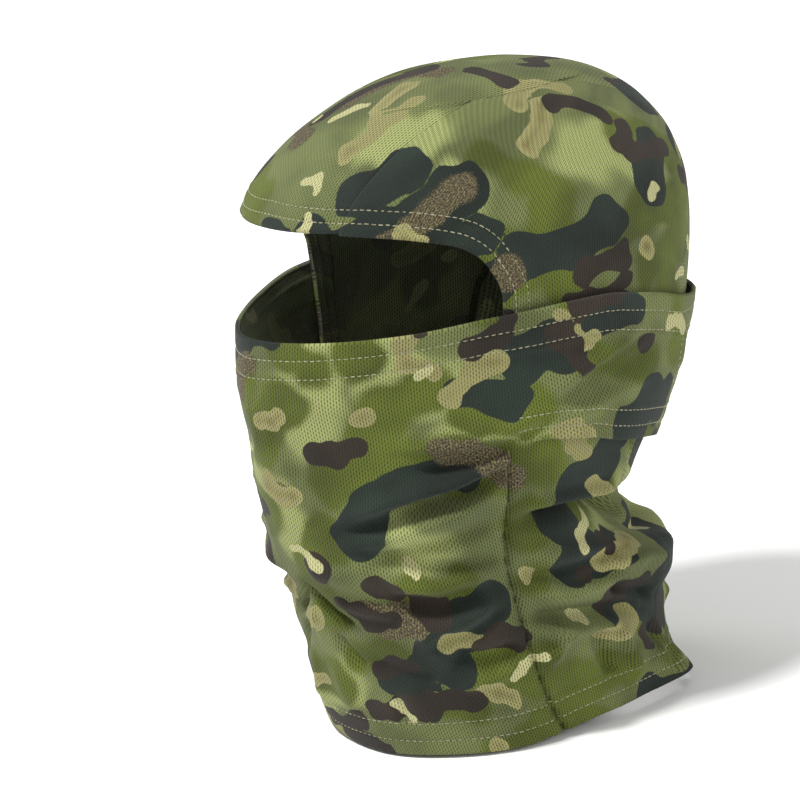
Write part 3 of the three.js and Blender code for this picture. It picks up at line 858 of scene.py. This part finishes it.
REAR, FRONT = 100, 56
rear_levels = spaced((0, FINE), (21, COARSE), (CROWN, 1))
rear_start = centre_turn(rear_levels)
rear_start[-1] = 90
u = np.linspace(0, 1, REAR)
rear_net = net(rear_start[:, None] + (360 - 2 * rear_start)[:, None] * u,
               np.repeat(rear_levels[:, None], REAR, 1))
strip_levels = spaced((BROW + 0.3, FINE), (BROW + 13, COARSE), (CROWN, 1))
strip_ends = strip_turn(strip_levels)
strip_ends[-1] = 90
u = np.linspace(-1, 1, FRONT)
strip_net = net(strip_ends[:, None] * u, np.repeat(strip_levels[:, None], FRONT, 1))
ring = np.concatenate([np.linspace(-90, 90, FRONT), np.linspace(90, 270, REAR)[1:]])
CAP_RINGS = 26
cap_levels = CROWN + (TOP_LEVEL - 0.12 - CROWN) * np.linspace(0, 1, CAP_RINGS) ** 0.6
cap_net = net(np.repeat(ring[None], CAP_RINGS, 0), np.repeat(cap_levels[:, None], len(ring), 1))
turn, level, faces = joined(rear_net, strip_net, cap_net)
once = {(a, b) for f in faces.tolist() for a, b in zip(f, f[1:] + f[:1])}
loop = dict((b, a) for a, b in once if (b, a) not in once and min(level[a], level[b]) > TOP_LEVEL - 0.2)
apex = len(turn)  # the last small ring closes in a fan
turn, level = np.append(turn, 90.0), np.append(level, TOP_LEVEL)
fan = np.array([(a, b, apex, apex) for a, b in loop.items()])
hood_centre = cloth("hood_centre", (turn, level, np.concatenate([faces, fan])), hood_outside,
                    hood_thickness, knit_cloth, place_at=crown_place)
print("the crown closes with", len(fan), "faces")


# %% The face cover, its rear panel, and the turned layers of the hems
cover_top = float(top_level(SEAM_TURN))
cover_rows = np.concatenate([spaced((0, FINE), (21, COARSE), (SEAM_TOP, COARSE)),
                             spaced((SEAM_TOP, FINE), (SEAM_TOP + 14, COARSE), (cover_top - 18, FINE),
                                    (cover_top, FINE))[1:]]) / cover_top
u = spaced((-1, 0.009), (-0.9, 0.0135), (0.9, 0.009), (1, 1))
cover_levels = cover_rows[:, None] * top_level(u * SEAM_TURN)[None]
cover_turns = u[None] * edge_turn(np.minimum(cover_levels, SEAM_TOP))
cover_net = net(cover_turns, cover_levels)


def between(start, end, rows, columns):
    """A net over the band, from one turn to another at each level, between its two hems."""
    w, v = np.meshgrid(columns, rows)
    level = np.full(w.shape, 150.0)
    for _ in range(8):
        turn = start(level) + (end(level) - start(level)) * w
        level = low_level(turn) + (top_level(turn) - low_level(turn)) * v
    return turn, level


def rear_turn(level):
    return turn_at_x(rear_side(level), level, True)


band_rows = cover_rows[cover_rows * cover_top > SEAM_TOP - 0.01]
band_rows = (band_rows - band_rows[0]) / (1 - band_rows[0])
wing_turn, wing_level = between(lambda l: SEAM_TURN + 0 * l, rear_turn, band_rows, np.linspace(0, 1, 62))
wing_turn[:, 0] = SEAM_TURN
wing_level[:, 0] = SEAM_TOP + (cover_top - SEAM_TOP) * band_rows
wing_net = net(wing_turn, wing_level)
face_cover = cloth("face_cover", joined(cover_net, wing_net, mirrored(wing_net)), cover_outside,
                   cover_thickness, knit_cloth)
rear_band = cloth("band_rear", net(*between(rear_turn, lambda l: 360 - rear_turn(l), band_rows,
                                            np.linspace(0, 1, 96))),
                  cover_outside, cover_thickness, knit_cloth)


HEM_ROWS = 17  # rows of vertices across a hem's turned-in layer


def beneath(outside, gap=0.06):
    """The outside of a layer that lies against the inner side of the cloth."""
    return lambda turn, level: outside(turn, level) - CLOTH - gap


def strip(name, turns, low, high, outside):
    """A hem's turned-in layer, from its raw edge to its fold."""
    steps = np.linspace(0, 1, HEM_ROWS)
    level = low(turns)[None] + (high(turns) - low(turns))[None] * steps[:, None]
    turn = np.repeat(turns[None], HEM_ROWS, 0)
    return cloth(name, net(turn, level), beneath(outside), TURNED, knit_cloth)


def round_turns(low, high):
    return np.linspace(low, high, int((high - low) / 1.1))


FOLD = 1.8  # the turned layer stops this short of the fold, where the cloth is already double
top_strip = strip("top_hem_inside", round_turns(-180, 180), lambda t: top_level(t) - TOP_HEM,
                  lambda t: top_level(t) - FOLD, cover_outside)
band_strip = strip("band_lower_hem_inside", round_turns(SEAM_TURN + 1, 359 - SEAM_TURN),
                   lambda t: low_level(t) + FOLD, lambda t: low_level(t) + BAND_HEM, cover_outside)
neck_limit = float(edge_turn(10.0)) - 0.6
neck_front = strip("neck_hem_front_inside", round_turns(-neck_limit, neck_limit),
                   lambda t: FOLD + 0 * t, lambda t: NECK_HEM + 0 * t, cover_outside)
neck_rear = strip("neck_hem_rear_inside", round_turns(neck_limit + 1.4, 358.6 - neck_limit),
                  lambda t: FOLD + 0 * t, lambda t: NECK_HEM + 0 * t, hood_outside)

edge_left = OPENING[::3]
edge_line = np.concatenate([edge_left[::-1], edge_left[1:] * (-1, 1)])


def along_opening(away):
    """The opening's edge moved back over the cloth, from the left seam over the brow to the right."""
    turn, level = edge_line.T
    wide = np.linalg.norm(form_point(turn + 0.5, level) - form_point(turn - 0.5, level), axis=1)
    tall = np.linalg.norm(form_point(turn, level + 0.5) - form_point(turn, level - 0.5), axis=1)
    step = np.stack([np.gradient(turn) * wide, np.gradient(level) * tall], 1)
    step /= np.linalg.norm(step, axis=1, keepdims=True)
    kernel = np.hanning(9) / np.hanning(9).sum()
    for k in (0, 1):
        padded = np.pad(step[:, k], 4, mode="edge")
        step[:, k] = np.convolve(padded, kernel, "valid")
    return turn + step[:, 1] * away / wide, level - step[:, 0] * away / tall


strip_places = [along_opening(a) for a in np.linspace(OPENING_HEM, FOLD, 12)]
opening_strip = cloth("opening_hem_inside", net(np.array([p[0] for p in strip_places]),
                                                np.array([p[1] for p in strip_places])),
                      beneath(hood_outside), TURNED, knit_cloth)
label_turns = np.linspace(171.4, 188.6, 20)
size_label = cloth("blank_size_label", net(*np.meshgrid(label_turns, np.linspace(23, 39, 14))),
                   beneath(hood_outside, 0.1), 0.5, label_tape, printed=False)


# %% [markdown]
# ## Stitches and overlocked seams
# Each hem is sewn with two rows of long stitches. Each stitch is a small rounded stroke of thread that
# dips into the cloth at its ends. Inside, the seams have overlocked edges: a ribbed strip.

# %% Stitches
PITCH, STITCH, THREAD = 2.9, 2.3, 0.46  # between stitches, their length, and the thread's thickness
SIDES = 6  # corners round a stitch


def line_on(turns, levels, outside, lift):
    raised = lifted(turns, levels)
    return (form_point(turns, raised) + form_normal(turns, raised)
            * (outside(turns, levels) + lift)[:, None], form_normal(turns, raised))


def stitch_row(name, turns, levels, outside, closed=False):
    """A row of stitches along a line of places on the cloth."""
    fine = np.linspace(0, len(turns) - 1, 12 * len(turns))
    turns, levels = (np.interp(fine, np.arange(len(v)), v) for v in (turns, levels))
    points, normals = line_on(turns, levels, outside, 0.12)
    run = np.concatenate([[0], np.cumsum(np.linalg.norm(np.diff(points, axis=0), axis=1))])
    count = int(run[-1] / PITCH)
    starts = (np.arange(count) + 0.5) * run[-1] / count
    rng = np.random.default_rng(len(name))
    around = np.linspace(0, 2 * np.pi, SIDES + 1)[:-1]
    stops = np.array([-0.5, -0.40, -0.15, 0.15, 0.40, 0.5])
    girth = np.array([0.35, 0.8, 1, 1, 0.8, 0.35])
    verts, faces = [], []
    for start in starts:
        at = start + stops * STITCH * rng.uniform(0.93, 1.04)
        centre = np.stack([np.interp(at, run, points[:, k]) for k in range(3)], 1)
        up = np.stack([np.interp(at, run, normals[:, k]) for k in range(3)], 1)
        ahead = np.gradient(centre, axis=0)
        side = np.cross(ahead, up)
        side /= np.linalg.norm(side, axis=1, keepdims=True)
        centre = centre - up * (0.34 * (2 * stops[:, None]) ** 4) + side * rng.uniform(-0.07, 0.07)
        base = len(verts)
        for k in range(len(stops)):
            r = THREAD / 2 * girth[k]
            verts += [centre[k] + r * (np.cos(a) * side[k] * 1.1 + np.sin(a) * up[k]) for a in around]
        for k in range(len(stops) - 1):
            for j in range(SIDES):
                p, q = base + SIDES * k + j, base + SIDES * k + (j + 1) % SIDES
                faces.append((p, p + SIDES, q + SIDES, q))
        last_ring = base + SIDES * (len(stops) - 1)
        faces.append(tuple(base + j for j in range(SIDES)))
        faces.append(tuple(last_ring + j for j in reversed(range(SIDES))))
    piece = new_mesh(name, np.array(verts), faces)
    piece.data.materials.append(stitch_thread)
    print(f"{name}: {count} stitches")
    return piece


def seam_ribbon(name, turns, levels, outside, width=3.0):
    """An overlocked edge along the inner side of a seam: a narrow strip with ribs of thread."""
    points, normals = line_on(turns, levels, outside, -CLOTH - 0.3)
    run = np.concatenate([[0], np.cumsum(np.linalg.norm(np.diff(points, axis=0), axis=1))])
    at = np.arange(0.3, run[-1] - 0.3, 0.55)
    centre = np.stack([np.interp(at, run, points[:, k]) for k in range(3)], 1)
    up = np.stack([np.interp(at, run, normals[:, k]) for k in range(3)], 1)
    side = np.cross(np.gradient(centre, axis=0), up)
    side /= np.linalg.norm(side, axis=1, keepdims=True)
    rib = 0.5 + 0.28 * np.sin(at * 2 * np.pi / 2.2)
    shape = [(-0.5, 0.0), (-0.42, -0.75), (0, -1.0), (0.42, -0.75), (0.5, 0.0)]
    verts, faces = [], []
    for across, depth in shape:
        verts.append(centre + side * across * width + up * depth * (0.5 + rib)[:, None])
    n, m = len(at), len(shape)
    verts = np.concatenate(verts)
    for j in range(m):
        for k in range(n - 1):
            p, q = j * n + k, (j + 1) % m * n + k
            faces.append((p, p + 1, q + 1, q))
    faces.append(tuple(j * n for j in range(m)))
    faces.append(tuple(j * n + n - 1 for j in reversed(range(m))))
    piece = new_mesh(name, verts, faces)
    piece.data.materials.append(seam_thread)
    return piece


def neck_outside(turn, level):
    """The outside of the neck hem: the face panel's in front of the side seams, the hood's behind."""
    in_front = folded(turn) < edge_turn(level)
    return np.where(in_front, cover_outside(turn, level), hood_outside(turn, level))


around = round_turns(-180, 180)
band_around = round_turns(SEAM_TURN + 1.5, 358.5 - SEAM_TURN)
rows = {}
for which, share in ROWS.items():
    rows["top_" + which] = stitch_row("top_row_" + which, around, top_level(around) - TOP_HEM * share,
                                      cover_outside)
    rows["band_" + which] = stitch_row("band_row_" + which, band_around,
                                       low_level(band_around) + BAND_HEM * share, cover_outside)
    rows["neck_" + which] = stitch_row("neck_row_" + which, around, np.full_like(around, NECK_HEM * share),
                                       neck_outside)
    rows["opening_" + which] = stitch_row("opening_row_" + which, *along_opening(OPENING_HEM * share),
                                          hood_outside)

seam_levels = np.linspace(NECK_HEM + 1, SEAM_TOP - 1, 90)
hood_seam_levels = np.linspace(NECK_HEM + 1, CROWN - 1, 190)
band_seam_share = np.linspace(BAND_HEM / 60, 1 - TOP_HEM / 60, 60)
ribbons = {}
for side, sign in (("left", 1), ("right", -1)):
    ribbons["side_" + side] = seam_ribbon("side_seam_edge_" + side, sign * (edge_turn(seam_levels) + 0.6),
                                          seam_levels, hood_outside)
    ribbons["hood_" + side] = seam_ribbon("hood_seam_edge_" + side, sign * centre_turn(hood_seam_levels),
                                          hood_seam_levels, hood_outside)
    seam_turn, seam_level = between(rear_turn, rear_turn, band_seam_share, np.array([0.0]))
    ribbons["band_" + side] = stitch_row("band_seam_row_" + side, sign * seam_turn[:, 0] + 0.5 * sign,
                                         seam_level[:, 0], cover_outside)


# %% [markdown]
# ## The frame
# The hood carries its panels, hems and rows. The band carries its own. The face cover bends between
# them, so the band can be drawn down.

# %% Bodies, and the stand-ins hidden
for piece in (hood_left, hood_right, hood_centre, opening_strip, neck_front, neck_rear, size_label,
              rows["opening_outer"], rows["opening_inner"], rows["neck_outer"], rows["neck_inner"],
              ribbons["side_left"], ribbons["side_right"], ribbons["hood_left"], ribbons["hood_right"]):
    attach(piece, "hood")
for piece in (rear_band, top_strip, band_strip, rows["top_outer"], rows["top_inner"],
              rows["band_outer"], rows["band_inner"], ribbons["band_left"], ribbons["band_right"]):
    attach(piece, "band")
middle_y = (5 + SHIFT) / 1000
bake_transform(face_cover, "hood", "band", start=(0, middle_y, 0.020), end=(0, middle_y + 0.0407, 0.1126))
STANDS = [
    (face_cover, "cloth_green", ["face_panel", "band_wing_left", "band_wing_right"]),
    (rear_band, "cloth_green", ["band_panel_rear"]),
    (hood_left, "cloth_green", ["hood_panel_left"]), (hood_right, "cloth_green", ["hood_panel_right"]),
    (hood_centre, "cloth_green", ["hood_panel_centre"]), (opening_strip, "hem_cloth", ["hood_opening_hem"]),
    (neck_front, "hem_cloth", ["neck_hem_front"]), (neck_rear, "hem_cloth", ["neck_hem_rear"]),
    (top_strip, "hem_cloth", ["top_hem"]), (band_strip, "hem_cloth", ["band_lower_hem"]),
    (size_label, "label", ["size_label"]),
    (ribbons["side_left"], "overlock_thread", ["side_seam_left"]),
    (ribbons["side_right"], "overlock_thread", ["side_seam_right"]),
    (ribbons["hood_left"], "overlock_thread", ["hood_seam_left"]),
    (ribbons["hood_right"], "overlock_thread", ["hood_seam_right"]),
    (ribbons["band_left"], "stitching", ["band_seam_left"]),
    (ribbons["band_right"], "stitching", ["band_seam_right"]),
] + [(rows[f"{a}_{b}"], "stitching", [f"{node}_stitch_{b}"])
     for a, node in (("top", "top"), ("band", "band"), ("neck", "neck"), ("opening", "hood_opening"))
     for b in ROWS]
for piece, slot, nodes in STANDS:
    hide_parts(*nodes)

# %% [markdown]
# Each panel is cloth held stretched over the head. No pattern gives the cuts: their widths and
# lengths are estimates, and their areas are those of the modelled cloth. Hems and rows of stitching
# go with the panels.

# %% [markdown]
# ## Floor, light and camera
# A pale floor, a soft white world, a soft sun high in front, and a large fill light on each side.

# %% Floor
FLOOR, FLOOR_LEVEL = 3.0, -0.0006  # half its side, and its height
floor_mesh = bpy.data.meshes.new("floor")
corners = [(x * FLOOR, y * FLOOR, FLOOR_LEVEL) for x, y in ((-1, -1), (1, -1), (1, 1), (-1, 1))]
floor_mesh.from_pydata(corners, [], [(0, 1, 2, 3)])
floor = bpy.data.objects.new("floor", floor_mesh)
bpy.context.scene.collection.objects.link(floor)
floor_paint, tree, shader = principled("floor_paint", 0.85)
where = tree.nodes.new("ShaderNodeTexCoord").outputs["Object"]
tree.links.new(mix(tree, noise(tree, where, 3, 3, 0.6), colour("fafaf8"), colour("ffffff")),
               shader.inputs["Base Color"])
floor_mesh.materials.append(floor_paint)


# %% Light and camera
def area_light(name, place, target, size, watts):
    data = bpy.data.lights.new(name, "AREA")
    data.shape, data.size, data.energy = "DISK", size, watts
    lamp = bpy.data.objects.new(name, data)
    lamp.location = place
    lamp.rotation_euler = (Vector(target) - Vector(place)).to_track_quat("-Z", "Y").to_euler()
    bpy.context.scene.collection.objects.link(lamp)
    return lamp


sun = bpy.data.lights.new("key", "SUN")
sun.energy, sun.angle = 3.1, math.radians(11)
key = bpy.data.objects.new("key", sun)
key.rotation_euler = Vector((0.0, -0.75, 1.5)).to_track_quat("Z", "Y").to_euler()
bpy.context.scene.collection.objects.link(key)
area_light("fill", (1.7, 0.5, 0.9), (0, 0, 0.14), 0.9, 10)
area_light("left_fill", (-1.4, -0.6, 1.0), (0, 0, 0.14), 1.0, 8)
world = bpy.data.worlds.new("studio")
world.use_nodes = True
world.node_tree.nodes["Background"].inputs["Color"].default_value = (1, 1, 1, 1)
world.node_tree.nodes["Background"].inputs["Strength"].default_value = 0.5
bpy.context.scene.world = world
bpy.context.scene.view_settings.view_transform = "Standard"

camera_data = bpy.data.cameras.new("camera")
camera_data.lens, camera_data.sensor_width, camera_data.shift_x = 134.55, 36, -0.09
camera_data.clip_start, camera_data.clip_end = 0.05, 30
camera = bpy.data.objects.new("camera", camera_data)
right, up, back = (Vector(v).normalized() for v in (
    (0.559, 0.822, -0.110), (-0.172, 0.245, 0.954), (0.811, -0.515, 0.278)))
camera.matrix_world = Matrix((
    (right.x, up.x, back.x, 1.0542), (right.y, up.y, back.y, -0.6491 + SHIFT / 1000),
    (right.z, up.z, back.z, 0.4960), (0, 0, 0, 1)))
bpy.context.scene.collection.objects.link(camera)
bpy.context.scene.camera = camera
